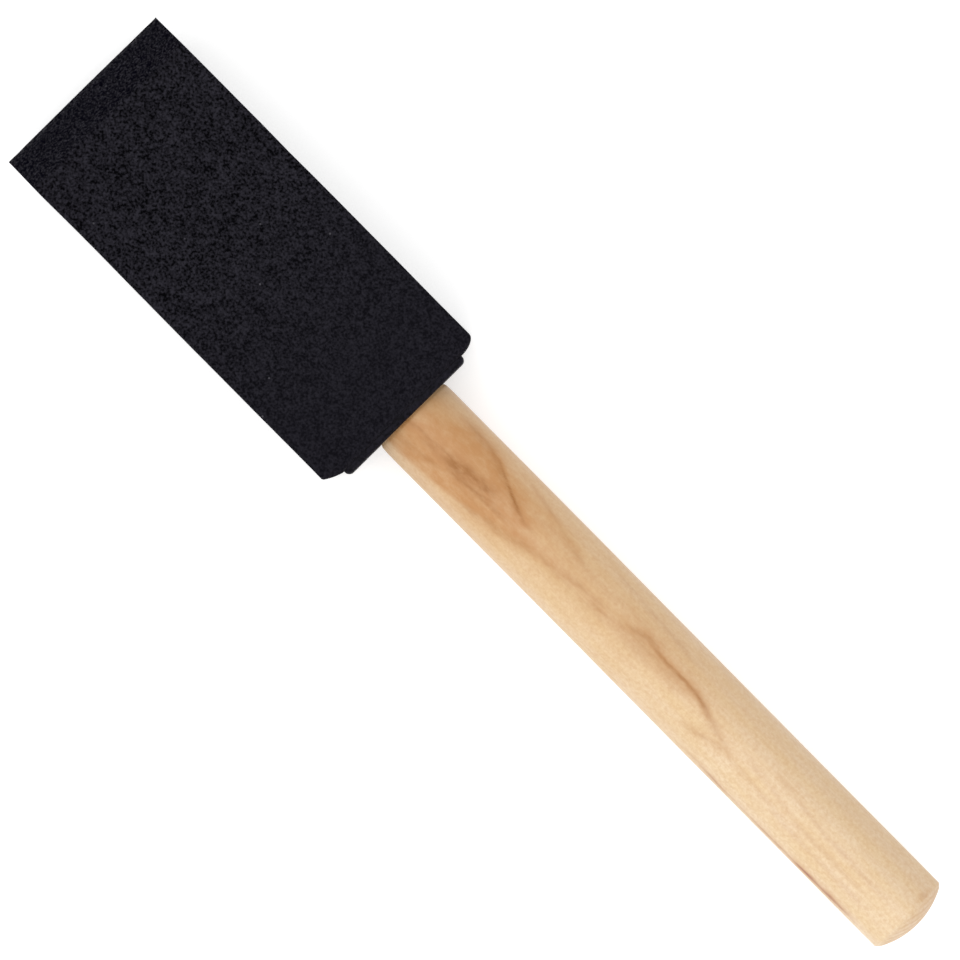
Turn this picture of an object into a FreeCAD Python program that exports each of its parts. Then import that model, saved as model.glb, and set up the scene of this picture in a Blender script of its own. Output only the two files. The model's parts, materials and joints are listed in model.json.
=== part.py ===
"""Foam sponge brush: a chisel-tipped foam block on a moulded core, with a wooden dowel handle.

Every body is drawn in the brush's own frame: X runs from the foam's tip to the end of the
handle, Y across the foam and Z through its thickness, with the tip's edge on the origin.
Each body is then placed so that the brush lies on one broad face of the foam, on Z = 0,
with the middle of its length and of the foam's width over the origin.
"""
import FreeCAD, Part
import math
import os

import Sketcher

# Driving dimensions, in millimetres: alias, value, meaning.
DIMENSIONS = [
    ("foam_width", 25.0, "across the broad face"),
    ("foam_length", 55.1, "tip edge to back face"),
    ("foam_thickness", 16.0, "between the two broad faces"),
    ("bevel_length", 4.6, "chisel bevel, along the brush"),
    ("nose_thickness", 2.4, "blunt cut edge of the chisel tip"),
    ("back_corner", 1.3, "easing of the foam's two back corners"),
    ("flex_setback", 11.5, "tip edge to the line that the free foam bends about"),
    ("flex_gap", 0.3, "room between the bending foam and the foam behind it"),
    ("flex_trim", 4.5, "bend line to the front of the foam behind it, at the broad faces"),
    ("cap_width", 19.9, "moulded cap behind the foam, across"),
    ("cap_height", 13.8, "moulded cap, through the thickness"),
    ("cap_thickness", 1.6, "moulded cap, along the brush"),
    ("cap_proud", 0.9, "how far the cap stands out behind the foam"),
    ("cap_corner", 0.8, "corner radius of the cap's outline"),
    ("cap_edge", 0.7, "rounding of the cap's back rim"),
    ("socket_outside_radius", 6.6, "tube that holds the dowel"),
    ("socket_bore_radius", 5.4, "inside of the tube"),
    ("socket_depth", 16.0, "cap's back face to the floor of the tube"),
    ("socket_floor", 1.5, "thickness of that floor"),
    ("socket_lead", 0.9, "chamfer round the buried end of the tube"),
    ("crush_rib_width", 0.8, "ribs in the bore that bite into the wood"),
    ("crush_rib_root", 0.1, "how far each rib runs into the tube's wall"),
    ("crush_rib_recess", 1.0, "mouth of the tube to the ends of the ribs"),
    ("blade_width", 17.0, "flat paddle inside the foam, without its barbs"),
    ("blade_thickness", 1.4, "flat paddle"),
    ("blade_setback", 21.5, "tip edge to the end of the blade"),
    ("blade_corner", 2.5, "corner radius at the blade's end"),
    ("barb_height", 0.6, "each barb on the blade's edges, sideways"),
    ("barb_length", 2.2, "each barb, along the blade"),
    ("barb_pitch", 4.2, "from one barb to the next"),
    ("barb_first", 26.0, "tip edge to the point of the first barb"),
    ("glue_film", 0.3, "adhesive on each face of the blade"),
    ("glue_margin", 1.2, "bare plastic left round the adhesive"),
    ("glue_hole_radius", 1.8, "holes that let the adhesive through the blade"),
    ("glue_hole_pitch", 5.0, "from one hole to the next"),
    ("glue_hole_first", 25.4, "tip edge to the centre of the first hole"),
    ("glue_disc", 0.8, "adhesive at the floor of the tube"),
    ("dowel_radius", 5.5, "exposed handle"),
    ("dowel_exposed", 86.8, "cap to the apex of the handle's end"),
    ("dowel_offset", 0.77, "handle's axis to one side of the foam's centreline"),
    ("seat_radius", 5.2, "end of the dowel squeezed into the tube"),
    ("seat_chamfer", 0.8, "chamfer of that end"),
    ("shoulder_length", 0.6, "slope from the squeezed seat up to the exposed handle"),
    ("dome_radius", 10.6, "domed end of the handle"),
    ("rim_easing", 0.3, "rim of the domed end"),
]
BARB_COUNT = 4
GLUE_HOLE_COUNT = 3
CRUSH_RIB_COUNT = 6

HALF_THICKNESS = "sizes.foam_thickness / 2"
SOCKET_MOUTH = "(sizes.foam_length + sizes.cap_proud)"
SOCKET_BOTTOM = f"({SOCKET_MOUTH} - sizes.socket_depth)"
SOCKET_END = f"({SOCKET_BOTTOM} - sizes.socket_floor)"
BRUSH_END = f"({SOCKET_MOUTH} + sizes.dowel_exposed)"
DOWEL_START = f"({SOCKET_BOTTOM} + sizes.glue_disc)"
DOME_RISE = "(sizes.dome_radius - sqrt(sizes.dome_radius^2 - sizes.dowel_radius^2))"

doc = FreeCAD.newDocument("foam_brush")


def make_sheet():
    """The spreadsheet that drives every size."""
    sheet = doc.addObject("Spreadsheet::Sheet", "sizes")
    for row, (alias, value, meaning) in enumerate(DIMENSIONS, start=1):
        sheet.set(f"A{row}", meaning)
        sheet.set(f"B{row}", str(value))
        sheet.setAlias(f"B{row}", alias)
    doc.recompute()
    return sheet


def new_body(label, offset_y="0"):
    """An empty body, placed so that the finished brush lies on Z = 0 about the origin."""
    body = doc.addObject("PartDesign::Body", label)
    body.Label = label
    body.setExpression("Placement.Base.x", f"-{BRUSH_END} / 2")
    body.setExpression("Placement.Base.y", offset_y)
    body.setExpression("Placement.Base.z", HALF_THICKNESS)
    return body


def origin_feature(body, role):
    """One of the body's own origin planes or axes, such as XY_Plane or X_Axis."""
    return next(f for f in body.Origin.OriginFeatures if f.Role == role)


def new_sketch(body, name, plane, height="0"):
    """A sketch on one of the body's origin planes, moved along the plane's normal."""
    sketch = body.newObject("Sketcher::SketchObject", name)
    sketch.AttachmentSupport = (origin_feature(body, plane), [""])
    sketch.MapMode = "FlatFace"
    sketch.setExpression("AttachmentOffset.Base.z", height)
    return sketch


def fix_point(sketch, geometry, position, guess, place):
    """Tie one point of a sketch to an (x, y) pair of expressions."""
    for kind, value, expression in zip(("DistanceX", "DistanceY"), guess, place):
        constraint = Sketcher.Constraint(kind, -1, 1, geometry, position, value)
        number = sketch.addConstraint(constraint)
        sketch.setExpression(f"Constraints[{number}]", expression)


def add_outline(sketch, corners, arc_side=None):
    """A closed outline through (x, y) pairs of expressions, its sides straight lines.

    One side may be an arc centred on the sketch's first axis, running anticlockwise.
    """
    count = len(corners)
    first = sketch.GeometryCount
    centre = FreeCAD.Vector(0, 0, 0)
    circle = Part.Circle(centre, FreeCAD.Vector(0, 0, 1), 1)
    turns = [2 * math.pi * i / count for i in range(count + 1)]
    guesses = [FreeCAD.Vector(math.cos(turn), math.sin(turn), 0) for turn in turns]
    for i in range(count):
        if i == arc_side:
            arc = sketch.addGeometry(Part.ArcOfCircle(circle, turns[i], turns[i + 1]))
            sketch.addConstraint(Sketcher.Constraint("PointOnObject", arc, 3, -1))
        else:
            sketch.addGeometry(Part.LineSegment(guesses[i], guesses[i + 1]))
    for i in range(count):
        following = first + (i + 1) % count
        sketch.addConstraint(Sketcher.Constraint("Coincident", first + i, 2, following, 1))
    for i, place in enumerate(corners):
        fix_point(sketch, first + i, 1, (guesses[i].x, guesses[i].y), place)


def add_rectangle(sketch, left, right, bottom, top):
    """A rectangle between four expressions."""
    add_outline(sketch, [(left, bottom), (right, bottom), (right, top), (left, top)])


def add_circle(sketch, centre, radius):
    """A circle about an (x, y) pair of expressions."""
    upward = FreeCAD.Vector(0, 0, 1)
    circle = sketch.addGeometry(Part.Circle(FreeCAD.Vector(1, 1, 0), upward, 1))
    fix_point(sketch, circle, 3, (1, 1), centre)
    number = sketch.addConstraint(Sketcher.Constraint("Radius", circle, 1))
    sketch.setExpression(f"Constraints[{number}]", radius)


def pad(body, name, sketch, length, side="One side"):
    """Grow a sketch along its plane's normal, or to both sides of the plane."""
    feature = body.newObject("PartDesign::Pad", name)
    feature.Profile = sketch
    feature.SideType = side
    feature.setExpression("Length", length)
    doc.recompute()
    return feature


def pocket(body, name, sketch, length, side="One side"):
    """Cut a sketch out of the body, against its plane's normal or to both sides of it."""
    volume_before = body.Shape.Volume
    feature = body.newObject("PartDesign::Pocket", name)
    feature.Profile = sketch
    feature.SideType = side
    feature.setExpression("Length", length)
    doc.recompute()
    if body.Shape.Volume >= volume_before:
        raise RuntimeError(f"{name} cuts nothing out of {body.Label}")
    return feature


def dress(body, kind, name, edges, size):
    """A Fillet or Chamfer on some edges of the body's last feature."""
    last = body.Tip
    feature = body.newObject(f"PartDesign::{kind}", name)
    feature.Base = (last, edges)
    feature.setExpression("Radius" if kind == "Fillet" else "Size", size)
    doc.recompute()
    return feature


def edges_at(body, **place):
    """Names of the edges that keep the given distances from the origin planes, end to end."""
    names = []
    for number, edge in enumerate(body.Tip.Shape.Edges, start=1):
        ends = [vertex.Point for vertex in edge.Vertexes]
        for axis, distance in place.items():
            values = [getattr(end, axis) for end in ends]
            if max(values) - min(values) > 0.001 or abs(abs(values[0]) - distance) > 0.001:
                break
        else:
            names.append(f"Edge{number}")
    return names


def row_of(body, name, feature, pitch, count):
    """Repeat a feature along X."""
    pattern = body.newObject("PartDesign::LinearPattern", name)
    pattern.Originals = [feature]
    pattern.Direction = (origin_feature(body, "X_Axis"), [""])
    pattern.setExpression("Length", f"{pitch} * {count - 1}")
    pattern.Occurrences = count
    body.Tip = pattern
    doc.recompute()
    return pattern


def make_foam_tip():
    """The free end of the foam: the chisel, and a round back that bends in the foam behind."""
    body = new_body("foam_tip")
    side = new_sketch(body, "tip_side", "XZ_Plane")
    nose = "sizes.nose_thickness / 2"
    add_outline(
        side,
        [
            ("0", f"-{nose}"),
            ("sizes.bevel_length", f"-{HALF_THICKNESS}"),
            ("sizes.flex_setback", f"-{HALF_THICKNESS}"),
            ("sizes.flex_setback", HALF_THICKNESS),
            ("sizes.bevel_length", HALF_THICKNESS),
            ("0", nose),
        ],
    )
    pad(body, "tip_block", side, "sizes.foam_width", "Symmetric")
    back = new_sketch(body, "tip_back", "XZ_Plane")
    add_circle(back, ("sizes.flex_setback", "0"), HALF_THICKNESS)
    pad(body, "tip_knuckle", back, "sizes.foam_width", "Symmetric")
    return body


def make_foam_body(sheet):
    """The foam round the core, with the space that the core and its adhesive fill."""
    body = new_body("foam_body")
    side = new_sketch(body, "block_side", "XZ_Plane")
    front = "sizes.flex_setback + sizes.flex_trim"
    add_rectangle(side, front, "sizes.foam_length", f"-{HALF_THICKNESS}", HALF_THICKNESS)
    pad(body, "block", side, "sizes.foam_width", "Symmetric")
    corners = edges_at(body, x=sheet.foam_length, y=sheet.foam_width / 2)
    dress(body, "Fillet", "back_corners", corners, "sizes.back_corner")

    hollow = new_sketch(body, "hollow_side", "XZ_Plane")
    add_circle(hollow, ("sizes.flex_setback", "0"), f"{HALF_THICKNESS} + sizes.flex_gap")
    pocket(body, "hollow_front", hollow, "sizes.foam_width", "Symmetric")

    recess = new_sketch(body, "cap_recess_outline", "YZ_Plane", "sizes.foam_length")
    half_width = "sizes.cap_width / 2"
    half_height = "sizes.cap_height / 2"
    add_rectangle(recess, f"-{half_width}", half_width, f"-{half_height}", half_height)
    pocket(body, "cap_recess", recess, "sizes.cap_thickness - sizes.cap_proud")

    bore = new_sketch(body, "socket_space_outline", "YZ_Plane", "sizes.foam_length")
    add_circle(bore, ("sizes.dowel_offset", "0"), "sizes.socket_outside_radius")
    pocket(body, "socket_space", bore, f"sizes.foam_length - {SOCKET_END}")

    slit = new_sketch(body, "slit_outline", "XY_Plane")
    half_slit = "(sizes.blade_width / 2 + sizes.barb_height)"
    add_rectangle(slit, "sizes.blade_setback", "sizes.foam_length", f"-{half_slit}", half_slit)
    slit_height = "sizes.blade_thickness + 2 * sizes.glue_film"
    pocket(body, "slit", slit, slit_height, "Symmetric")
    return body


def make_core(sheet):
    """The moulded core: cap, tube for the dowel, and barbed blade with adhesive holes."""
    body = new_body("plastic_core")
    cap = new_sketch(body, "cap_outline", "YZ_Plane", f"{SOCKET_MOUTH} - sizes.cap_thickness")
    half_width = "sizes.cap_width / 2"
    half_height = "sizes.cap_height / 2"
    add_rectangle(cap, f"-{half_width}", half_width, f"-{half_height}", half_height)
    pad(body, "cap", cap, "sizes.cap_thickness")
    corners = edges_at(body, y=sheet.cap_width / 2, z=sheet.cap_height / 2)
    dress(body, "Fillet", "cap_corners", corners, "sizes.cap_corner")
    mouth = sheet.foam_length + sheet.cap_proud
    dress(body, "Fillet", "cap_back_rim", edges_at(body, x=mouth), "sizes.cap_edge")

    axis = ("sizes.dowel_offset", "0")
    tube = new_sketch(body, "tube_outline", "YZ_Plane", SOCKET_END)
    add_circle(tube, axis, "sizes.socket_outside_radius")
    pad(body, "tube", tube, "sizes.socket_depth + sizes.socket_floor - sizes.cap_edge")
    tube_end = edges_at(body, x=mouth - sheet.socket_depth - sheet.socket_floor)
    dress(body, "Chamfer", "tube_lead", tube_end, "sizes.socket_lead")

    blade = new_sketch(body, "blade_outline", "XY_Plane")
    half_blade = "sizes.blade_width / 2"
    blade_root = f"{SOCKET_MOUTH} - sizes.cap_thickness / 2"
    add_rectangle(blade, "sizes.blade_setback", blade_root, f"-{half_blade}", half_blade)
    pad(body, "blade", blade, "sizes.blade_thickness", "Symmetric")
    ends = edges_at(body, x=sheet.blade_setback, y=sheet.blade_width / 2)
    dress(body, "Fillet", "blade_corners", ends, "sizes.blade_corner")

    barb = new_sketch(body, "barb_outline", "XY_Plane")
    point = f"({half_blade} + sizes.barb_height)"
    heel = "sizes.barb_first - sizes.barb_length"
    for sign in ("-", ""):
        add_outline(
            barb,
            [
                (heel, f"{sign}{half_blade}"),
                ("sizes.barb_first", f"{sign}{half_blade}"),
                ("sizes.barb_first", f"{sign}{point}"),
            ],
        )
    barbs = pad(body, "barb", barb, "sizes.blade_thickness", "Symmetric")
    row_of(body, "barbs", barbs, "sizes.barb_pitch", BARB_COUNT)

    hole = new_sketch(body, "glue_hole_outline", "XY_Plane")
    add_circle(hole, ("sizes.glue_hole_first", "0"), "sizes.glue_hole_radius")
    holes = pocket(body, "glue_hole", hole, "sizes.blade_thickness", "Symmetric")
    row_of(body, "glue_holes", holes, "sizes.glue_hole_pitch", GLUE_HOLE_COUNT)

    bore = new_sketch(body, "bore_outline", "YZ_Plane", SOCKET_MOUTH)
    add_circle(bore, axis, "sizes.socket_bore_radius")
    pocket(body, "bore", bore, "sizes.socket_depth")
    add_crush_ribs(body)
    return body


def turned_about_dowel(radial, across, degrees):
    """A point of the YZ plane, at a radial and a sideways distance from the dowel's axis."""
    return (
        f"sizes.dowel_offset + {radial} * cos({degrees}) - ({across}) * sin({degrees})",
        f"{radial} * sin({degrees}) + ({across}) * cos({degrees})",
    )


def add_crush_ribs(body):
    """Ribs along the bore, from just above the adhesive to just inside the mouth."""
    start = f"({DOWEL_START} + sizes.seat_chamfer)"
    ribs = new_sketch(body, "crush_rib_outlines", "YZ_Plane", start)
    crest = "sizes.seat_radius"
    root = "(sizes.socket_bore_radius + sizes.crush_rib_root)"
    half_width = "sizes.crush_rib_width / 2"
    outline = [
        (crest, f"-{half_width}"),
        (root, f"-{half_width}"),
        (root, half_width),
        (crest, half_width),
    ]
    for i in range(CRUSH_RIB_COUNT):
        degrees = 360 * i / CRUSH_RIB_COUNT
        corners = [turned_about_dowel(radial, across, degrees) for radial, across in outline]
        add_outline(ribs, corners)
    pad(body, "crush_ribs", ribs, f"{SOCKET_MOUTH} - sizes.crush_rib_recess - {start}")


def make_blade_adhesive():
    """Hot-melt film on both faces of the blade, joined by plugs through its holes."""
    body = new_body("blade_adhesive")
    hole = new_sketch(body, "plug_outline", "XY_Plane")
    add_circle(hole, ("sizes.glue_hole_first", "0"), "sizes.glue_hole_radius")
    plug = pad(body, "plug", hole, "sizes.blade_thickness + 2 * sizes.glue_film", "Symmetric")
    row_of(body, "plugs", plug, "sizes.glue_hole_pitch", GLUE_HOLE_COUNT)
    film = new_sketch(body, "film_outline", "XY_Plane", "sizes.blade_thickness / 2")
    half_film = "(sizes.blade_width / 2 - sizes.glue_margin)"
    front = "sizes.blade_setback + sizes.glue_margin"
    back = f"{SOCKET_END} - sizes.glue_margin"
    add_rectangle(film, front, back, f"-{half_film}", half_film)
    upper = pad(body, "upper_film", film, "sizes.glue_film")
    lower = body.newObject("PartDesign::Mirrored", "lower_film")
    lower.Originals = [upper]
    lower.MirrorPlane = (origin_feature(body, "XY_Plane"), [""])
    body.Tip = lower
    doc.recompute()
    return body


def make_dowel_adhesive():
    """The disc of adhesive between the end of the dowel and the floor of the tube."""
    body = new_body("dowel_adhesive", "sizes.dowel_offset")
    disc = new_sketch(body, "disc_outline", "YZ_Plane", SOCKET_BOTTOM)
    add_circle(disc, ("0", "0"), "sizes.socket_bore_radius")
    pad(body, "disc", disc, "sizes.glue_disc")
    return body


def make_dowel(sheet):
    """The handle: squeezed seat, exposed cylinder and shallow domed end, turned about X."""
    body = new_body("wooden_dowel", "sizes.dowel_offset")
    profile = new_sketch(body, "dowel_profile", "XZ_Plane")
    add_outline(
        profile,
        [
            (BRUSH_END, "0"),
            (f"{BRUSH_END} - {DOME_RISE}", "sizes.dowel_radius"),
            (f"{SOCKET_MOUTH} + sizes.shoulder_length", "sizes.dowel_radius"),
            (SOCKET_MOUTH, "sizes.seat_radius"),
            (f"{DOWEL_START} + sizes.seat_chamfer", "sizes.seat_radius"),
            (DOWEL_START, "sizes.seat_radius - sizes.seat_chamfer"),
            (DOWEL_START, "0"),
        ],
        arc_side=0,
    )
    stick = body.newObject("PartDesign::Revolution", "turned_stick")
    stick.Profile = profile
    stick.ReferenceAxis = (origin_feature(body, "X_Axis"), [""])
    stick.Angle = 360
    doc.recompute()
    dome_rise = sheet.dome_radius - math.sqrt(sheet.dome_radius**2 - sheet.dowel_radius**2)
    rim = sheet.foam_length + sheet.cap_proud + sheet.dowel_exposed - dome_rise
    dress(body, "Fillet", "rim", edges_at(body, x=rim), "sizes.rim_easing")
    return body


def write_parts(bodies):
    """Check every object of the document, then write each body to its own file."""
    for thing in doc.Objects:
        if {"Invalid", "Error"} & set(thing.State):
            raise RuntimeError(f"{thing.Name} failed: {thing.State}")
    os.makedirs("parts", exist_ok=True)
    for body in bodies:
        shape = body.Shape
        if shape.isNull() or not shape.isValid() or len(shape.Solids) != 1:
            raise RuntimeError(f"{body.Label} isn't one valid solid")
        shape.exportStep(f"parts/{body.Label}.step")
        box = shape.BoundBox
        print(
            f"{body.Label}: x {box.XMin:.2f} to {box.XMax:.2f}, y {box.YMin:.2f} to {box.YMax:.2f},"
            f" z {box.ZMin:.2f} to {box.ZMax:.2f}, {shape.Volume:.0f} mm3"
        )


sheet = make_sheet()
write_parts(
    [
        make_foam_tip(),
        make_foam_body(sheet),
        make_core(sheet),
        make_blade_adhesive(),
        make_dowel_adhesive(),
        make_dowel(sheet),
    ]
)
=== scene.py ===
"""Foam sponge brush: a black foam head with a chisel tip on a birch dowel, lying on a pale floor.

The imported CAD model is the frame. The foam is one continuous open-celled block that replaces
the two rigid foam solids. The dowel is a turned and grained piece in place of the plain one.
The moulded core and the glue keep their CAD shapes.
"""

import json
import math

import bpy
import numpy as np
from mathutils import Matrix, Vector, noise


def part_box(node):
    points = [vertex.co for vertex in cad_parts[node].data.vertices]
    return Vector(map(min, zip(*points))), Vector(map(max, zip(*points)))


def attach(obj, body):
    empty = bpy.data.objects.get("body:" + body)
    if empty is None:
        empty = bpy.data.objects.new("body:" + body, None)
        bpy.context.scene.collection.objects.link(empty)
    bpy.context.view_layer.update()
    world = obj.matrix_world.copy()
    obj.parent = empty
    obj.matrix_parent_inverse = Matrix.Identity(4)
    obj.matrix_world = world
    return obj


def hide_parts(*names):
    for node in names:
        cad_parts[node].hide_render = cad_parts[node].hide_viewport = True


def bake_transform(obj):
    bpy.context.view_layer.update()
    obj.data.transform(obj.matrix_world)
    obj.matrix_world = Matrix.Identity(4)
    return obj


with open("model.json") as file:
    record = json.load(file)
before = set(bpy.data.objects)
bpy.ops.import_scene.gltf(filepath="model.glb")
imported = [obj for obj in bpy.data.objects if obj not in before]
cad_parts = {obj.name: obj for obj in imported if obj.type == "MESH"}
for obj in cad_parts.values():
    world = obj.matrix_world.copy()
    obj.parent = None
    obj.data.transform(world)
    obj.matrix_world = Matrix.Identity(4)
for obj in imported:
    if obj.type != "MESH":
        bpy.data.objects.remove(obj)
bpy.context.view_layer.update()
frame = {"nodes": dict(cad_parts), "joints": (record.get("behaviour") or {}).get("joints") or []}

MM = 0.001
SHARP_ANGLE = 60  # edges turned further than this, in degrees, stay sharp
NOISE_STEP = (17.3, 5.1, 9.7)  # each seed starts this much further along the noise
CELL_STEP = (11.9, 7.7, 3.1)

# Places that come from the frame, in metres.
TIP_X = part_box("foam_tip")[0].x
FOAM_LOW, FOAM_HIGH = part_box("foam_body")
BACK_X = FOAM_HIGH.x
CORE_LOW, CORE_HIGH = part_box("plastic_core")
DOWEL_LOW, DOWEL_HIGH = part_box("wooden_dowel")
GLUE_LOW, GLUE_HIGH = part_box("blade_adhesive")
HINGE_X = frame["joints"][0]["pos_m"][0]
MIDDLE_Z = (FOAM_LOW.z + FOAM_HIGH.z) / 2
HALF_WIDTH = (FOAM_HIGH.y - FOAM_LOW.y) / 2
HALF_THICKNESS = (FOAM_HIGH.z - FOAM_LOW.z) / 2
DOWEL_Y = (DOWEL_LOW.y + DOWEL_HIGH.y) / 2
DOWEL_RADIUS = (DOWEL_HIGH.y - DOWEL_LOW.y) / 2

# The foam head.
BEVEL_LENGTH = 4.6 * MM
CREASE_X = TIP_X + BEVEL_LENGTH  # where the bevels meet the broad faces
NOSE_THICKNESS = 2.4 * MM
GRID = 0.24 * MM  # between the mesh's lines
BEVEL_GRID = 0.13 * MM
CUT_EASING = 0.32 * MM  # rounding of the long cut edges
NOSE_EASING = 0.45 * MM
BACK_EASING = 0.9 * MM  # where the cap has drawn the back edges of the broad faces in
CORNER_ALONG = 1.1 * MM
CORNER_ACROSS = 2.3 * MM
CORNER_STRAIGHT = {1: 0.1, -1: 0.75}  # one back corner is round, the other nearly a chamfer
CELL = 0.58 * MM  # from one pore to the next
CELL_DEPTH = 0.2 * MM
PORE_EDGE = (0.16, 0.52)  # from the floor of a pore to its rim, in cells
WALL_EDGE = (0.0, 0.25)  # from the middle of a wall into the pore, in cells
TEAR_SPACING = 3.1 * MM
TEAR_DEPTH = 0.16 * MM
TEAR_EDGE = (0.10, 0.22)
SAG_SPACING = 11 * MM
SAG_DEPTH = 0.08 * MM
CELLS_SOFTEN = (-45 * MM, -24 * MM)  # the cells get shallower along here, towards the cap
COLOUR_EVENS = (-46 * MM, -24 * MM)  # and the colour gets more even along here
STRAND_SPACING = 0.30 * MM
CLUMP_SPACING = 1.2 * MM
FLECK_SPACING = 5 * MM
FRAY_GLINT_SPACING = 0.8 * MM

# The space inside the foam for the core and its glue. The tube's part of it isn't cut yet.
FIT = 0.03 * MM  # clear of the core on every side
CAP_THICKNESS = 1.6 * MM
TUBE_RADIUS = 6.6 * MM
TUBE_LENGTH = 17.5 * MM
BLADE_HALF_WIDTH = 9.1 * MM
BLADE_TIP_ROOM = 0.4 * MM

# The dowel.
SEAT_RADIUS = 5.2 * MM
SEAT_CHAMFER = 0.8 * MM
SEAT_RINGS = 8
SHOULDER = 1.5 * MM  # where the squeezed seat swells out to the full dowel
SHOULDER_RINGS = 6
DOME_RADIUS = 10.6 * MM
RIM_EASING = 0.3 * MM
RIM_TURN = math.radians(67.5)  # how far the easing turns before the dome takes over
RIM_RINGS = 5
DOME_RINGS = 20
RING_STEP = 0.3 * MM
DOWEL_SEGMENTS = 192
DOWEL_SHARP_ANGLE = 50
FIBRE_DEPTH = 0.014 * MM
WAVE_DEPTH = 0.05 * MM
DENT_COUNT = 9
DENT_DEPTH = 0.05 * MM
DENT_LENGTHS = (0.5, 1.6)  # least and most, in millimetres
DENT_WIDTHS = (0.3, 0.6)
STREAK_FADE = 2.5 * MM
WOBBLE = 0.22 * MM  # how far the streaks stray from their lines
UNDERSIDE_SHIFT = 13 * MM  # the underside shows the same growth further along
PITH = (0, -9 * MM, -3 * MM)  # the tree's centre, beside the dowel

# Dark streaks in the wood, in millimetres: half width, strength, and the line each one follows
# along and across the dowel as seen from above.
STREAKS = [
    (1.30, 0.38, [(-13, -0.2), (-7, -0.4), (0, 0.1)]),
    (0.95, 0.95, [(-9.0, 0.0), (-5, 0.4), (-1.5, 0.9)]),
    (0.40, 0.60, [(-8.5, -0.9), (-5, -0.7), (-0.5, 0.2)]),
    (0.35, 0.55, [(-15, 0.0), (-9, 0.4), (-3, 1.3), (-1, 0.7)]),
    (0.40, 0.45, [(-8, -0.4), (-3, -0.6), (2, -0.3)]),
    (0.60, 0.34, [(-14, -2.2), (-8, -1.3)]),
    (0.60, 0.32, [(-10, 5.0), (-5, 4.3), (0, 2.5), (3.5, 0.9)]),
    (0.26, 0.85, [(-4, 4.3), (0, 2.6), (3.5, 1.0)]),
    (0.65, 0.34, [(-4, -2.7), (1.5, -1.9), (7, -0.6)]),
    (0.35, 0.16, [(-1, -2.4), (7, -0.6), (12, 0.1)]),
    (0.45, 0.28, [(5, -0.8), (11, 0.0), (18, 0.9)]),
    (1.10, 0.17, [(6, -0.9), (14, -0.5), (26, -0.1)]),
    (0.35, 0.30, [(12, 0.9), (16, 0.2), (20, 0.5)]),
    (0.70, 0.26, [(18, 0.6), (24, 0.9), (31, 0.5)]),
    (0.45, 0.42, [(21, 1.4), (24, 1.9), (28, 1.4), (33, 1.3)]),
    (0.26, 0.66, [(25, 1.6), (33, 1.4), (36, 0.6)]),
    (0.45, 0.20, [(34.5, 0.9), (37, 0.1), (41.5, -1.1)]),
    (0.40, 0.12, [(39, -0.7), (51, -2.1), (65, -2.4)]),
    (0.30, 0.14, [(43, 0.4), (52, -1.0), (64, -1.2)]),
    (0.30, 0.14, [(46, 1.6), (56, 0.4), (66, 0.2)]),
    (0.40, 0.24, [(34.5, -2.2), (40.5, -0.8)]),
    (0.30, 0.16, [(0.5, 5.2), (7, 3.9), (13.5, 2.2)]),
    (0.30, 0.12, [(14, 5.3), (22, 4.6), (30, 3.9)]),
    (0.24, 0.24, [(36, -4.3), (48, -4.45), (66, -4.4)]),
    (0.24, 0.50, [(39, -4.35), (44, -4.45)]),
    (0.22, 0.52, [(48, -4.45), (55, -4.5)]),
    (0.36, 0.85, [(54.5, -4.5), (59, -4.4), (64, -4.35)]),
    (0.55, 0.22, [(69.0, 3.9), (70.2, 3.9)]),
]
HALO_WIDTH = 2.6  # the warm stain round a streak, in widths of the streak

# The tan stain, in millimetres: along the dowel, the stain's edge round it, and its strength.
STAIN = [
    (-16, -5.6, 0.95), (-12, -5.0, 0.95), (-8.5, -4.5, 1.0), (-3.6, -3.7, 1.0), (1.2, -2.6, 0.85),
    (7.2, -1.7, 0.58), (13.3, -1.2, 0.40), (24, -1.7, 0.36), (31, -1.4, 0.28), (40, -1.0, 0.12),
    (52, -1.0, 0.0),
]
STAIN_EDGE = (-1.3 * MM, 1.0 * MM)  # how the stain comes in round the dowel
STAIN_THINS = (1.5 * MM, 6 * MM)  # and where it thins out again

# Where the wood's colour changes, along the dowel and across it. Across it the change is partly
# painted light and shade: paler at the -y edge the side lamp lights, deeper and pinker towards +y.
WARM_ALONG = (10 * MM, 48 * MM)
WARM_AND_SHADE_ACROSS = (-4 * MM, -1 * MM)
PEACH_SHADE_ALONG = (22 * MM, 50 * MM)
PEACH_SHADE_ACROSS = (-0.5 * MM, 5.5 * MM)
STREAKS_REDDEN = (34 * MM, 42 * MM)

# Colours, as linear red, green and blue.
# Lit and shaded copies of the one near-black foam: the pale cell walls are painted light, the dark
# pores painted shade.
FOAM_WALL_LIT = (0.0196, 0.0184, 0.0246)
FOAM_PORE_SHADED = (0.0008, 0.0007, 0.0012)
FOAM_EVEN = (0.0071, 0.0066, 0.0096)
# Painted shade for the tilted bevel.
FOAM_BEVEL_PAINTED_SHADE = (0.0002, 0.0001, 0.0026)
# Pale dust, and the colour of painted glints and highlights on the foam.
FOAM_DUST_AND_GLINT = (0.13, 0.125, 0.14)
WOOD_TAN = (0.435, 0.212, 0.074)
WOOD_CREAM = (0.70, 0.555, 0.380)
WOOD_HONEY = (0.62, 0.435, 0.200)
# Peach: partly the wood's pink, partly painted shade on the side away from the side lamp.
WOOD_PEACH_AND_SHADE = (0.55, 0.395, 0.250)
WOOD_BROWN = (0.27, 0.100, 0.010)
WOOD_RED = (0.29, 0.092, 0.040)
PLASTIC_DARK = (0.0066, 0.0058, 0.0098)
PLASTIC_LIGHT = (0.0100, 0.0090, 0.0142)
PLASTIC_PIT = (0.0014, 0.0013, 0.0022)
PLASTIC_SCUFF = (0.02, 0.02, 0.022)
GLUE_PALE = (0.66, 0.55, 0.33)
GLUE_AMBER = (0.52, 0.40, 0.20)

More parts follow.
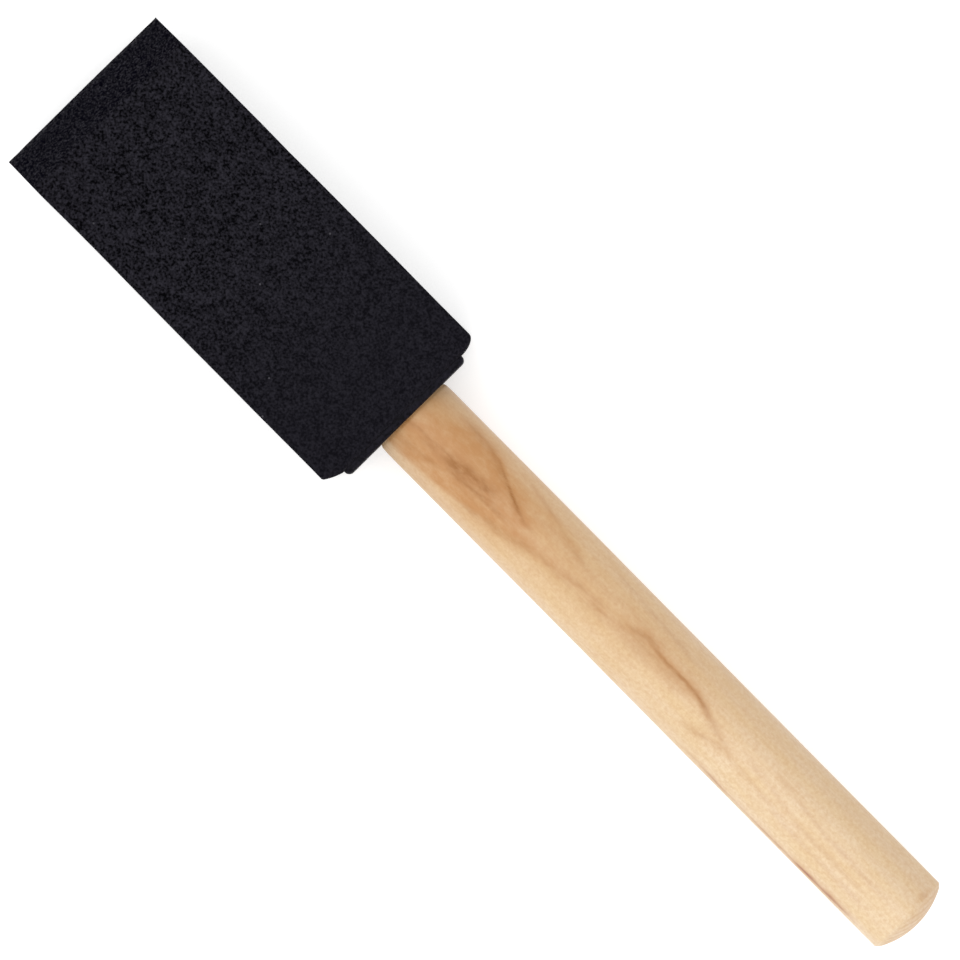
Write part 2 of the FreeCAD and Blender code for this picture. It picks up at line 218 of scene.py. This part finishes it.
# The studio: how bright the pale room is, and each lamp's name, direction, softness in degrees
# and power.
WHITE = (1, 1, 1, 1)
ROOM_LIGHT = 0.88
FLOOR_HALF = 8  # metres
FLOOR_TONE = 0.65
FLOOR_GLOW = 0.48  # the floor is lit from behind, like a light table
LAMPS = [
    ("overhead lamp", Vector((0.05, -0.1, 1.0)), 60, 1.2),
    ("side lamp", Vector((0.25, -1.0, 0.8)), 60, 0.5),
]
LENS = 800  # millimetres, long enough to flatten the perspective
CAMERA_REACH = 20  # metres
PICTURE_WIDTH = 116.1 * MM  # halfway up the brush
VIEW_CENTRE = (-4.0 * MM, 1.0 * MM)
VIEW_TURN = math.radians(45.32)


# ---------------------------------------------------------------- meshes

def new_piece(name, points, faces, sharp_angle=SHARP_ANGLE):
    """A smooth-shaded mesh object, with edges kept sharp past an angle in degrees."""
    mesh = bpy.data.meshes.new(name)
    mesh.from_pydata(points.tolist(), [], faces)
    piece = bpy.data.objects.new(name, mesh)
    bpy.context.scene.collection.objects.link(piece)
    finish_shading(mesh, sharp_angle)
    return piece


def finish_shading(mesh, sharp_angle=SHARP_ANGLE):
    mesh.shade_smooth()
    mesh.set_sharp_from_angle(angle=math.radians(sharp_angle))
    mesh.update()


def points_of(mesh):
    places = np.empty(len(mesh.vertices) * 3)
    mesh.vertices.foreach_get("co", places)
    return places.reshape(-1, 3)


def normals_of(mesh):
    normals = np.empty(len(mesh.vertices) * 3)
    mesh.vertex_normals.foreach_get("vector", normals)
    return normals.reshape(-1, 3)


def store(mesh, name, kind, values):
    """Keeps a value or a place on each vertex, for the material to read."""
    attribute = mesh.attributes.new(name, kind, "POINT")
    field = "vector" if kind == "FLOAT_VECTOR" else "value"
    attribute.data.foreach_set(field, np.ascontiguousarray(values, np.float32).ravel())


def smooth_step(low, high, value):
    share = np.clip((value - low) / (high - low), 0, 1)
    return share * share * (3 - 2 * share)


def soft_noise(points, spacing, seed):
    """Smooth noise from about -1 to 1 that changes over the given distance."""
    shift = Vector([seed * step for step in NOISE_STEP])
    return np.array([noise.noise(Vector(p) / spacing + shift) for p in points])


def cell_noise(points, spacing, seed):
    """For each point, the distances to its nearest and next nearest cell centre, in cells."""
    shift = Vector([seed * step for step in CELL_STEP])
    near = [noise.voronoi(Vector(p) / spacing + shift)[0][:2] for p in points]
    return np.array(near).T


# ---------------------------------------------------------------- foam head

def block_surface(along, across, through):
    """Grid places and faces of a block's closed surface, one vertex per grid crossing."""
    shape = (len(along), len(across), len(through))
    on_surface = np.zeros(shape, bool)
    for axis in range(3):
        ends = np.moveaxis(on_surface, axis, 0)
        ends[0] = True
        ends[-1] = True
    number = np.full(shape, -1)
    number[on_surface] = np.arange(on_surface.sum())
    i, j, k = np.nonzero(on_surface)
    points = np.stack([along[i], across[j], through[k]], axis=1)

    sides = [
        (number[:, :, -1], False), (number[:, :, 0], True),
        (number[:, 0, :], False), (number[:, -1, :], True),
        (number[-1, :, :], False), (number[0, :, :], True),
    ]
    faces = []
    for grid, flipped in sides:
        corners = [grid[:-1, :-1], grid[1:, :-1], grid[1:, 1:], grid[:-1, 1:]]
        if flipped:
            corners.reverse()
        faces += np.stack(corners, axis=-1).reshape(-1, 4).tolist()
    return points, faces


def ease(depth_a, depth_b, reach_a, reach_b, straight=0.0):
    """Draws the square edge where two faces meet onto a quarter ellipse, or towards a chamfer.

    The depths are distances in from the two faces, and change only within the reaches.
    """
    a = np.clip(1 - depth_a / reach_a, 0, 1)
    b = np.clip(1 - depth_b / reach_b, 0, 1)
    round_a = a * np.sqrt(1 - b * b / 2)
    round_b = b * np.sqrt(1 - a * a / 2)
    new_a = round_a + straight * (a * (1 - b / 2) - round_a)
    new_b = round_b + straight * (b * (1 - a / 2) - round_b)
    return depth_a + (a - new_a) * reach_a, depth_b + (b - new_b) * reach_b


def shape_foam(points):
    """Turns the block's grid into the chisel-tipped head, with its edges eased."""
    x, y, level = points.T
    half = np.interp(x, [TIP_X, CREASE_X], [NOSE_THICKNESS / 2, HALF_THICKNESS])
    side = np.sign(y)
    face = np.sign(level)
    from_face = half * (1 - np.abs(level))
    from_side = HALF_WIDTH - np.abs(y)
    from_back = BACK_X - x
    from_tip = x - TIP_X

    from_side, from_face = ease(from_side, from_face, CUT_EASING, CUT_EASING)
    from_back, from_face = ease(from_back, from_face, BACK_EASING, BACK_EASING)
    from_tip, from_face = ease(from_tip, from_face, NOSE_EASING, NOSE_EASING)
    x = np.where(x < HINGE_X, TIP_X + from_tip, BACK_X - from_back)
    for way, straight in CORNER_STRAIGHT.items():
        eased = ease(BACK_X - x, from_side, CORNER_ALONG, CORNER_ACROSS, straight)
        here = (side == way) & (x > HINGE_X)
        x = np.where(here, BACK_X - eased[0], x)
        from_side = np.where(here, eased[1], from_side)
    return np.stack([
        x,
        side * (HALF_WIDTH - from_side),
        MIDDLE_Z + face * (half - from_face),
    ], axis=1)


def box_cutter(low, high):
    points = [
        (x, y, z)
        for z in (low[2], high[2])
        for y in (low[1], high[1])
        for x in (low[0], high[0])
    ]
    faces = [(0, 2, 3, 1), (4, 5, 7, 6), (0, 1, 5, 4), (2, 6, 7, 3), (0, 4, 6, 2), (1, 3, 7, 5)]
    return new_piece("cutter", np.array(points), faces)


def tube_cutter(start, end, radius, centre_y, centre_z, sides=96):
    """A cylinder along x. Its faces are wound inwards, so a cut leaves its space uncut."""
    turns = np.linspace(0, math.tau, sides, endpoint=False)
    ring = np.stack([np.zeros(sides), radius * np.cos(turns), radius * np.sin(turns)], axis=1)
    ring += (0, centre_y, centre_z)
    points = np.concatenate([ring + (start, 0, 0), ring + (end, 0, 0)])
    faces = [(n, n + sides, (n + 1) % sides + sides, (n + 1) % sides) for n in range(sides)]
    faces.append(tuple(range(sides)))
    faces.append(tuple(range(2 * sides - 1, sides - 1, -1)))
    return new_piece("cutter", points, faces)


def cut(piece, cutters):
    """Takes the cutters' space out of the piece, and removes the cutters."""
    for cutter in cutters:
        modifier = piece.modifiers.new("space", "BOOLEAN")
        modifier.operation = "DIFFERENCE"
        modifier.solver = "EXACT"
        modifier.object = cutter
    depsgraph = bpy.context.evaluated_depsgraph_get()
    result = bpy.data.meshes.new_from_object(piece.evaluated_get(depsgraph))
    piece.modifiers.clear()
    piece.data = result
    for cutter in cutters:
        bpy.data.objects.remove(cutter)


def core_space():
    """Cutters for the cap's recess, the tube, which stays uncut, and the glued blade."""
    beyond = 2 * MM
    recess = box_cutter(
        (CORE_HIGH.x - CAP_THICKNESS - FIT, CORE_LOW.y - FIT, CORE_LOW.z - FIT),
        (BACK_X + beyond, CORE_HIGH.y + FIT, CORE_HIGH.z + FIT),
    )
    tube = tube_cutter(
        CORE_HIGH.x - TUBE_LENGTH - FIT, BACK_X + beyond, TUBE_RADIUS + FIT, DOWEL_Y, MIDDLE_Z
    )
    blade = box_cutter(
        (CORE_LOW.x - BLADE_TIP_ROOM, -BLADE_HALF_WIDTH - FIT, GLUE_LOW.z),
        (BACK_X + beyond, BLADE_HALF_WIDTH + FIT, GLUE_HIGH.z),
    )
    return [recess, tube, blade]


def foam_relief(points):
    """How deep each outer point is sunk by cells, tears and the softness of the block."""
    first, second = cell_noise(points, CELL, seed=1)
    pore = (1 - smooth_step(*PORE_EDGE, first)) * smooth_step(*WALL_EDGE, second - first)
    tear_centre, _ = cell_noise(points, TEAR_SPACING, seed=2)
    tear = 1 - smooth_step(*TEAR_EDGE, tear_centre)
    sag = soft_noise(points, SAG_SPACING, seed=3)
    crispness = 1 - 0.5 * smooth_step(*CELLS_SOFTEN, points[:, 0])
    depth = crispness * (CELL_DEPTH * pore + TEAR_DEPTH * tear) + SAG_DEPTH * sag
    return depth, pore


def inside_core_space(points):
    """True on the walls of the hollow that the core fills, and on the edge of its mouth."""
    x, y, z = points.T
    wide = (y > CORE_LOW.y - 2 * FIT) & (y < CORE_HIGH.y + 2 * FIT)
    thick = (z > CORE_LOW.z - 2 * FIT) & (z < CORE_HIGH.z + 2 * FIT)
    return wide & thick & (x > CORE_LOW.x - BLADE_TIP_ROOM - FIT)


def foam_block():
    """The smooth foam head, with space for the core's cap and blade but not for its tube."""
    bevel_lines = np.linspace(TIP_X, CREASE_X, round(BEVEL_LENGTH / BEVEL_GRID) + 1)
    body_lines = np.linspace(CREASE_X, BACK_X, round((BACK_X - CREASE_X) / GRID) + 1)
    points, faces = block_surface(
        np.concatenate([bevel_lines, body_lines[1:]]),
        np.linspace(-HALF_WIDTH, HALF_WIDTH, round(2 * HALF_WIDTH / GRID) + 1),
        np.linspace(-1, 1, round(2 * HALF_THICKNESS / GRID) + 1),
    )
    foam = new_piece("foam_head", shape_foam(points), faces)
    cut(foam, core_space())
    return foam


def roughen(mesh):
    """Sinks the foam's outside into cells, and stores what the material needs to know of them."""
    places = points_of(mesh)
    outer = ~inside_core_space(places)
    depth = np.zeros(len(places))
    pore = np.full(len(places), 0.5)
    depth[outer], pore[outer] = foam_relief(places[outer])
    moved = places - normals_of(mesh) * depth[:, None]
    moved[:, 2] = np.maximum(moved[:, 2], FOAM_LOW.z)
    mesh.vertices.foreach_set("co", moved.ravel())
    finish_shading(mesh)
    store(mesh, "rest_place", "FLOAT_VECTOR", places)
    store(mesh, "pore", "FLOAT", pore)


def make_foam():
    foam = foam_block()
    roughen(foam.data)
    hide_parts("foam_body", "foam_tip")
    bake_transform(foam)
    return foam


# ---------------------------------------------------------------- dowel

def dome_start():
    return DOWEL_HIGH.x - DOME_RADIUS + math.sqrt(DOME_RADIUS ** 2 - DOWEL_RADIUS ** 2)


def dowel_profile():
    """Stations along the dowel from its seat in the core to its domed end, each with a radius."""
    mouth = CORE_HIGH.x
    start = DOWEL_LOW.x
    seat = [(start, SEAT_RADIUS - SEAT_CHAMFER), (start + SEAT_CHAMFER, SEAT_RADIUS)]
    seat += [(x, SEAT_RADIUS) for x in np.linspace(start + 2 * MM, mouth, SEAT_RINGS)]
    shoulder = []
    for share in np.linspace(0.15, 0.9, SHOULDER_RINGS):
        rise = math.sqrt(1 - (1 - share) ** 2)
        radius = SEAT_RADIUS + (DOWEL_RADIUS - SEAT_RADIUS) * rise
        shoulder.append((mouth + SHOULDER * share, radius))
    rim_start = dome_start() - RIM_EASING
    shaft = [(x, DOWEL_RADIUS) for x in np.arange(mouth + SHOULDER, rim_start, RING_STEP)]
    rim = []
    for turn in np.linspace(0, RIM_TURN, RIM_RINGS)[1:]:
        rim.append((
            rim_start + RIM_EASING * math.sin(turn),
            DOWEL_RADIUS - RIM_EASING * (1 - math.cos(turn)),
        ))
    dome = []
    dome_centre = DOWEL_HIGH.x - DOME_RADIUS
    for radius in np.linspace(rim[-1][1], 0, DOME_RINGS)[1:-1]:
        dome.append((dome_centre + math.sqrt(DOME_RADIUS ** 2 - radius ** 2), radius))
    return np.array(seat + shoulder + shaft + rim + dome)


def turned_faces(rings):
    """Faces of a turned shape: strips between its rings, and a fan to a point at each end."""
    here = np.arange(rings * DOWEL_SEGMENTS).reshape(rings, DOWEL_SEGMENTS)
    after = np.roll(here, -1, axis=1)
    strips = np.stack([after[:-1], after[1:], here[1:], here[:-1]], axis=-1)
    faces = strips.reshape(-1, 4).tolist()
    start_point = rings * DOWEL_SEGMENTS
    end_point = start_point + 1
    faces += [(b, a, start_point) for a, b in zip(here[0].tolist(), after[0].tolist())]
    faces += [(a, b, end_point) for a, b in zip(here[-1].tolist(), after[-1].tolist())]
    return faces


def round_distance(points):
    """Distance round the dowel from its topmost line, growing towards +y."""
    turn = np.arctan2(points[:, 1] - DOWEL_Y, points[:, 2] - MIDDLE_Z)
    return turn * DOWEL_RADIUS


def streak(x, arc, half_width, line):
    """How near each place is to a streak's line, from 0 to 1, fading out at the streak's ends."""
    along, across = np.array(line).T * MM
    fade = min(STREAK_FADE, (along[-1] - along[0]) / 3)
    ends = smooth_step(along[0] - fade, along[0] + fade, x)
    ends = ends * (1 - smooth_step(along[-1] - fade, along[-1] + fade, x))
    sine = (np.interp(x, along, across) - DOWEL_Y) / DOWEL_RADIUS
    off_line = (arc - DOWEL_RADIUS * np.arcsin(sine)) / (half_width * MM)
    return ends * np.exp(-off_line ** 2)


def stain(x, arc):
    """The tan stain that starts at the core and thins out along one side of the dowel."""
    along, edge, strength = np.array(STAIN).T
    low_side = smooth_step(*STAIN_EDGE, arc - np.interp(x, along * MM, edge * MM))
    high_side = 1 - 0.6 * smooth_step(*STAIN_THINS, arc)
    return low_side * high_side * np.interp(x, along * MM, strength)


def wood_figure(points):
    """The dark streaks, and how tan the wood is: most near the core and beside the streaks."""
    x = points[:, 0]
    wobble = soft_noise(points * (0.5, 1, 1), 2.5 * MM, seed=5)
    wobble += 0.6 * soft_noise(points * (0.6, 1, 1), 0.9 * MM, seed=11)
    swelling = 1 + 0.5 * soft_noise(points * (0.4, 1, 1), 1.8 * MM, seed=10)
    arc = round_distance(points) + WOBBLE * wobble
    half_turn = math.pi * DOWEL_RADIUS
    arc_below = (arc + 2 * half_turn) % (2 * half_turn) - half_turn
    figure = np.zeros(len(points))
    halo = np.zeros(len(points))
    for half_width, strength, line in STREAKS:
        for along, round_it in ((x, arc), (x - UNDERSIDE_SHIFT, arc_below)):
            dark = streak(along, round_it, half_width * swelling, line)
            warm = streak(along, round_it, half_width * HALO_WIDTH, line)
            figure = np.maximum(figure, strength * dark)
            halo = np.maximum(halo, strength * warm)
    patchy = 0.5 + 0.5 * soft_noise(points * (0.35, 1, 1), 3.5 * MM, seed=6)
    stained = np.maximum(stain(x, arc), stain(x, arc_below))
    on_side = 1 - smooth_step(dome_start() - 0.3 * MM, dome_start() + 0.2 * MM, x)
    tan = stained * (0.72 + 0.45 * patchy) + 0.8 * halo * on_side
    return figure * on_side, np.clip(tan, 0, 1)


def dowel_relief(points, angle):
    """How deep the exposed wood is sunk by its fibres, its slight waviness and a few dents."""
    fibre = soft_noise(points * (0.06, 1, 1), 0.45 * MM, seed=7)
    wave = soft_noise(points * (0.3, 1, 1), 7 * MM, seed=8)
    depth = FIBRE_DEPTH * (1 + fibre) + WAVE_DEPTH * (0.5 + 0.5 * wave)
    chance = np.random.default_rng(9)
    for _ in range(DENT_COUNT):
        dent_x = chance.uniform(CORE_HIGH.x + 4 * MM, DOWEL_HIGH.x - 3 * MM)
        dent_angle = chance.uniform(0, math.tau)
        length = chance.uniform(*DENT_LENGTHS) * MM
        width = chance.uniform(*DENT_WIDTHS) * MM
        turn = np.angle(np.exp(1j * (angle - dent_angle))) * DOWEL_RADIUS
        near = ((points[:, 0] - dent_x) / length) ** 2 + (turn / width) ** 2
        depth += DENT_DEPTH * np.exp(-near)
    return depth * smooth_step(CORE_HIGH.x, CORE_HIGH.x + MM, points[:, 0])


def make_dowel():
    profile = dowel_profile()
    turns = np.linspace(0, math.tau, DOWEL_SEGMENTS, endpoint=False)
    radius = np.repeat(profile[:, 1], DOWEL_SEGMENTS)
    angle = np.tile(turns, len(profile))
    rings = np.stack([
        np.repeat(profile[:, 0], DOWEL_SEGMENTS),
        DOWEL_Y + radius * np.cos(angle),
        MIDDLE_Z + radius * np.sin(angle),
    ], axis=1)
    ends = [(DOWEL_LOW.x, DOWEL_Y, MIDDLE_Z), (DOWEL_HIGH.x, DOWEL_Y, MIDDLE_Z)]
    points = np.concatenate([rings, ends])

    depth = dowel_relief(points, np.append(angle, [0, 0]))
    figure, tan = wood_figure(points)
    inward = ((0, DOWEL_Y, MIDDLE_Z) - points) * (0, 1, 1) / DOWEL_RADIUS
    sunk = points + inward * depth[:, None]
    dowel = new_piece("dowel_wood", sunk, turned_faces(len(profile)), DOWEL_SHARP_ANGLE)
    store(dowel.data, "figure", "FLOAT", figure)
    store(dowel.data, "tan", "FLOAT", tan)
    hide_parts("wooden_dowel")
    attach(dowel, "handle")
    return dowel


# ---------------------------------------------------------------- materials

def new_material(name):
    """A material, its node tree and its shader."""
    material = bpy.data.materials.new(name)
    material.use_nodes = True
    tree = material.node_tree
    return material, tree, tree.nodes["Principled BSDF"]


def add(tree, kind, inputs=None, **settings):
    """A new node. Each input is given a value, or linked when the value is another node's output."""
    node = tree.nodes.new("ShaderNode" + kind)
    for setting, value in settings.items():
        setattr(node, setting, value)
    for name, value in (inputs or {}).items():
        if isinstance(value, bpy.types.NodeSocket):
            tree.links.new(value, node.inputs[name])
        else:
            node.inputs[name].default_value = value
    return node


def read(tree, name, output="Fac"):
    return add(tree, "Attribute", attribute_name=name).outputs[output]


def scaled(tree, place, x, y, z):
    """The place stretched along each axis, to draw a pattern out along one of them."""
    return add(tree, "VectorMath", {0: place, 1: (x, y, z)}, operation="MULTIPLY").outputs[0]


def grain(tree, place, spacing, detail=2.0, roughness=0.5):
    """Noise from 0 to 1 that changes over the given distance."""
    return add(tree, "TexNoise", {
        "Vector": place, "Scale": 1 / spacing, "Detail": detail, "Roughness": roughness,
    }).outputs["Fac"]


def spread(tree, value, low, high, to_low=0.0, to_high=1.0):
    """The value moved from one range to another, and held inside it."""
    return add(tree, "MapRange", {
        "Value": value, "From Min": low, "From Max": high, "To Min": to_low, "To Max": to_high,
    }).outputs["Result"]


def plus(tree, first, second):
    return add(tree, "Math", {0: first, 1: second}, operation="ADD").outputs[0]


def times(tree, first, second):
    return add(tree, "Math", {0: first, 1: second}, operation="MULTIPLY").outputs[0]


def as_colour(value):
    """A node's output as it is, or red, green and blue with an alpha of 1."""
    return value if isinstance(value, bpy.types.NodeSocket) else (*value, 1)


def mix(tree, share, first, second):
    """Two colours, mixed by a share from 0 to 1."""
    return add(tree, "MixRGB", {
        "Fac": share, "Color1": as_colour(first), "Color2": as_colour(second),
    }).outputs[0]


def bump(tree, shader, height, distance, strength=0.6):
    node = add(tree, "Bump", {"Height": height, "Distance": distance, "Strength": strength})
    tree.links.new(node.outputs[0], shader.inputs["Normal"])


def foam_cells(tree, place, strands):
    """How light each place is, from a dark pore at 0 to a pale cell wall at 1: painted shade in the
    pores and painted light on the walls.
    """
    clumps = grain(tree, place, CLUMP_SPACING)
    # Painted shade: darker where the mesh is sunk into pores.
    sunk = times(tree, read(tree, "pore"), -0.36)
    light = plus(tree, spread(tree, strands, 0.29, 0.74), sunk)
    return plus(tree, light, spread(tree, clumps, 0.3, 0.7, -0.12, 0.14))


def add_dust_and_glints(tree, place, x, colour):
    """Pale flecks here and there, partly dust and partly painted glints, and a slightly frayed nose
    with a painted highlight along its cut edge.
    """
    fleck_distance = add(tree, "TexVoronoi", {
        "Vector": place, "Scale": 1 / FLECK_SPACING, "Randomness": 1.0,
    }, feature="F1").outputs["Distance"]
    fleck = spread(tree, fleck_distance, 0.018, 0.034, 0.35, 0.0)
    colour = mix(tree, fleck, colour, FOAM_DUST_AND_GLINT)
    # Painted highlight: the nose's cut edge is paler where light catches it, and a little frayed.
    nose = spread(tree, x, TIP_X + 0.2 * MM, TIP_X + 0.7 * MM, 1.0, 0.0)
    frayed_glint = spread(tree, grain(tree, place, FRAY_GLINT_SPACING, 3.0), 0.5, 0.7, 0.0, 0.17)
    return mix(tree, times(tree, nose, frayed_glint), colour, FOAM_DUST_AND_GLINT)


def foam_material():
    """Charcoal foam: a net of pale cell walls round dark pores, painted light and shade, crisper
    towards the tip, with painted shade on the bevel.
    """
    material, tree, shader = new_material("charcoal open cell foam")
    place = read(tree, "rest_place", "Vector")
    x = add(tree, "SeparateXYZ", {0: place}).outputs[0]
    strands = grain(tree, place, STRAND_SPACING, 1.0, 0.6)
    light = foam_cells(tree, place, strands)
    colour = mix(tree, light, FOAM_PORE_SHADED, FOAM_WALL_LIT)
    evenness = spread(tree, x, *COLOUR_EVENS, 0.0, 0.52)
    colour = mix(tree, evenness, colour, FOAM_EVEN)
    # Painted shade on the tilted bevel, ahead of the crease.
    shade = spread(tree, x, CREASE_X - 0.3 * MM, CREASE_X + 0.3 * MM, 0.56, 0.0)
    shade = times(tree, shade, spread(tree, strands, 0.38, 0.62, 1.8, 0.1))
    colour = mix(tree, shade, colour, FOAM_BEVEL_PAINTED_SHADE)
    colour = add_dust_and_glints(tree, place, x, colour)

    tree.links.new(colour, shader.inputs["Base Color"])
    shader.inputs["Specular IOR Level"].default_value = 0.03
    tree.links.new(spread(tree, light, 0.0, 0.8, 0.95, 0.7), shader.inputs["Roughness"])
    bump(tree, shader, strands, 0.12 * MM)
    return material


def wood_ground(tree, place, blotches):
    """The wood's colour: warmer near the core, and across the dowel paler at the lit -y edge and
    deeper and pinker towards +y, partly painted light and shade.
    """
    parts = add(tree, "SeparateXYZ", {0: place}).outputs
    x, y = parts[0], parts[1]
    ground = mix(tree, spread(tree, blotches, 0.35, 0.7, 0.0, 0.35), WOOD_CREAM, WOOD_HONEY)
    warm = spread(tree, x, *WARM_ALONG, 0.42, 0.05)
    # Partly painted light and shade: the honey thins at the lit -y edge and deepens towards +y.
    warm = times(tree, warm, spread(tree, y, *WARM_AND_SHADE_ACROSS, 0.4, 1.25))
    ground = mix(tree, warm, ground, WOOD_HONEY)
    # Partly painted shade: the +y side, away from the side lamp, goes peach.
    peach_and_shade = spread(tree, y, *PEACH_SHADE_ACROSS, 0.0, 0.72)
    peach_and_shade = times(tree, peach_and_shade, spread(tree, x, *PEACH_SHADE_ALONG, 0.9, 1.0))
    ground = mix(tree, peach_and_shade, ground, WOOD_PEACH_AND_SHADE)
    rings = add(tree, "TexWave", {
        "Vector": scaled(tree, place, 0.10, 1, 0.6), "Scale": 1 / (7 * MM), "Distortion": 3.5,
        "Detail": 2.0, "Detail Scale": 1.5,
    }, wave_type="BANDS", bands_direction="Y").outputs["Fac"]
    return mix(tree, spread(tree, rings, 0.2, 1.0, 0.0, 0.2), ground, WOOD_HONEY)


def add_figure(tree, place, x, fibres, base):
    """The tan stain, the fibres and mottling, and the dark streaks, redder towards the end."""
    cloudy = grain(tree, scaled(tree, place, 0.6, 1, 1), 1.3 * MM, 4.0, 0.7)
    tan = times(tree, read(tree, "tan"), spread(tree, cloudy, 0.32, 0.68, 0.72, 1.12))
    base = mix(tree, tan, base, WOOD_TAN)
    base = mix(tree, spread(tree, fibres, 0.40, 0.75, 0.0, 0.12), base, WOOD_BROWN)
    mottle = grain(tree, place, 0.48 * MM, 2.0, 0.7)
    base = mix(tree, spread(tree, mottle, 0.35, 0.7, 0.0, 0.34), base, WOOD_TAN)
    broken = grain(tree, scaled(tree, place, 0.4, 1, 1), 0.9 * MM, 3.0, 0.65)
    ragged = times(tree, read(tree, "figure"), spread(tree, broken, 0.3, 0.65, 0.35, 1.25))
    dark = mix(tree, spread(tree, x, *STREAKS_REDDEN), WOOD_BROWN, WOOD_RED)
    return mix(tree, ragged, base, dark)


def add_end_grain(tree, place, x, base):
    """Growth rings on the domed end."""
    rings = add(tree, "TexWave", {
        "Vector": add(tree, "VectorMath", {0: place, 1: PITH}, operation="SUBTRACT").outputs[0],
        "Scale": 1 / (3.2 * MM), "Distortion": 2.5, "Detail": 3.0,
    }, wave_type="RINGS", rings_direction="X").outputs["Fac"]
    cut_end = spread(tree, x, dome_start(), dome_start() + 0.4 * MM)
    ringed = times(tree, cut_end, spread(tree, rings, 0.3, 1.0, 0.15, 0.42))
    return mix(tree, ringed, base, WOOD_TAN)


def wood_material():
    """Birch: cream wood with fine fibres, brown streaks and a tan stain that starts at the core."""
    material, tree, shader = new_material("birch")
    place = add(tree, "TexCoord").outputs["Object"]
    x = add(tree, "SeparateXYZ", {0: place}).outputs[0]
    blotches = grain(tree, scaled(tree, place, 0.4, 1, 1), 2.6 * MM, 3.0, 0.6)
    fibres = grain(tree, scaled(tree, place, 0.07, 1, 1), 0.25 * MM, 3.0, 0.7)
    base = wood_ground(tree, place, blotches)
    base = add_figure(tree, place, x, fibres, base)
    base = add_end_grain(tree, place, x, base)

    tree.links.new(base, shader.inputs["Base Color"])
    shader.inputs["Specular IOR Level"].default_value = 0.5
    tree.links.new(spread(tree, blotches, 0.2, 0.8, 0.42, 0.58), shader.inputs["Roughness"])
    bump(tree, shader, fibres, 0.03 * MM)
    return material


def plastic_material():
    """Black moulded polypropylene with a fine eroded texture and a few scuffs."""
    material, tree, shader = new_material("black moulded plastic")
    place = add(tree, "TexCoord").outputs["Object"]
    clouds = grain(tree, place, 3 * MM, 3.0)
    pits = grain(tree, place, 0.42 * MM, 2.0, 0.6)
    scuffs = grain(tree, scaled(tree, place, 1, 0.12, 1), 0.5 * MM)
    colour = mix(tree, spread(tree, clouds, 0.3, 0.7), PLASTIC_DARK, PLASTIC_LIGHT)
    colour = mix(tree, spread(tree, pits, 0.42, 0.62, 0.0, 0.85), colour, PLASTIC_PIT)
    colour = mix(tree, spread(tree, scuffs, 0.62, 0.75, 0.0, 0.3), colour, PLASTIC_SCUFF)

    tree.links.new(colour, shader.inputs["Base Color"])
    shader.inputs["Specular IOR Level"].default_value = 0.05
    tree.links.new(spread(tree, clouds, 0.3, 0.7, 0.38, 0.55), shader.inputs["Roughness"])
    bump(tree, shader, grain(tree, place, 0.18 * MM, 2.0, 0.6), 0.02 * MM)
    return material


def glue_material():
    """Amber hot-melt glue, slightly cloudy."""
    material, tree, shader = new_material("amber glue")
    place = add(tree, "TexCoord").outputs["Object"]
    clouds = grain(tree, place, 1.5 * MM, 3.0, 0.6)
    colour = mix(tree, spread(tree, clouds, 0.3, 0.7), GLUE_PALE, GLUE_AMBER)
    tree.links.new(colour, shader.inputs["Base Color"])
    tree.links.new(spread(tree, clouds, 0.3, 0.7, 0.2, 0.4), shader.inputs["Roughness"])
    bump(tree, shader, clouds, 0.1 * MM, 0.5)
    return material


def wear(piece, material):
    """Puts the material on every face of the piece."""
    if not piece.material_slots:
        piece.data.materials.append(material)
    for slot in piece.material_slots:
        slot.material = material


# ---------------------------------------------------------------- stage

def make_floor():
    corners = np.array([(-1, -1, 0), (1, -1, 0), (1, 1, 0), (-1, 1, 0)])
    floor = new_piece("floor", FLOOR_HALF * corners, [(0, 1, 2, 3)])
    material, _, shader = new_material("pale floor")
    shader.inputs["Base Color"].default_value = (FLOOR_TONE, FLOOR_TONE, FLOOR_TONE, 1)
    shader.inputs["Emission Color"].default_value = WHITE
    shader.inputs["Emission Strength"].default_value = FLOOR_GLOW
    shader.inputs["Roughness"].default_value = 0.9
    shader.inputs["Specular IOR Level"].default_value = 0.1
    wear(floor, material)


def make_light():
    """A pale room on every side, a soft lamp overhead and a weaker one beside the handle."""
    scene = bpy.context.scene
    scene.view_settings.view_transform = "Standard"
    world = bpy.data.worlds.new("studio")
    world.use_nodes = True
    background = world.node_tree.nodes["Background"]
    background.inputs["Color"].default_value = WHITE
    background.inputs["Strength"].default_value = ROOM_LIGHT
    scene.world = world
    for name, direction, softness, power in LAMPS:
        lamp = bpy.data.lights.new(name, "SUN")
        lamp.angle = math.radians(softness)
        lamp.energy = power
        holder = bpy.data.objects.new(name, lamp)
        holder.location = direction
        holder.rotation_euler = (-direction).to_track_quat("-Z", "Y").to_euler()
        scene.collection.objects.link(holder)


def make_camera():
    """Straight above, turned so that the brush lies across the picture from its upper left."""
    scene = bpy.context.scene
    camera = bpy.data.cameras.new("camera")
    camera.lens = LENS
    camera.clip_end = CAMERA_REACH
    holder = bpy.data.objects.new("camera", camera)
    distance = PICTURE_WIDTH * LENS / camera.sensor_width
    holder.location = (VIEW_CENTRE[0], VIEW_CENTRE[1], MIDDLE_Z + distance)
    holder.rotation_euler = (0, 0, VIEW_TURN)
    scene.collection.objects.link(holder)
    scene.camera = holder


foam = make_foam()
wear(foam, foam_material())
dowel = make_dowel()
wear(dowel, wood_material())
wear(frame["nodes"]["plastic_core"], plastic_material())
glue = glue_material()
wear(frame["nodes"]["blade_adhesive"], glue)
wear(frame["nodes"]["dowel_adhesive"], glue)
make_floor()
make_light()
make_camera()
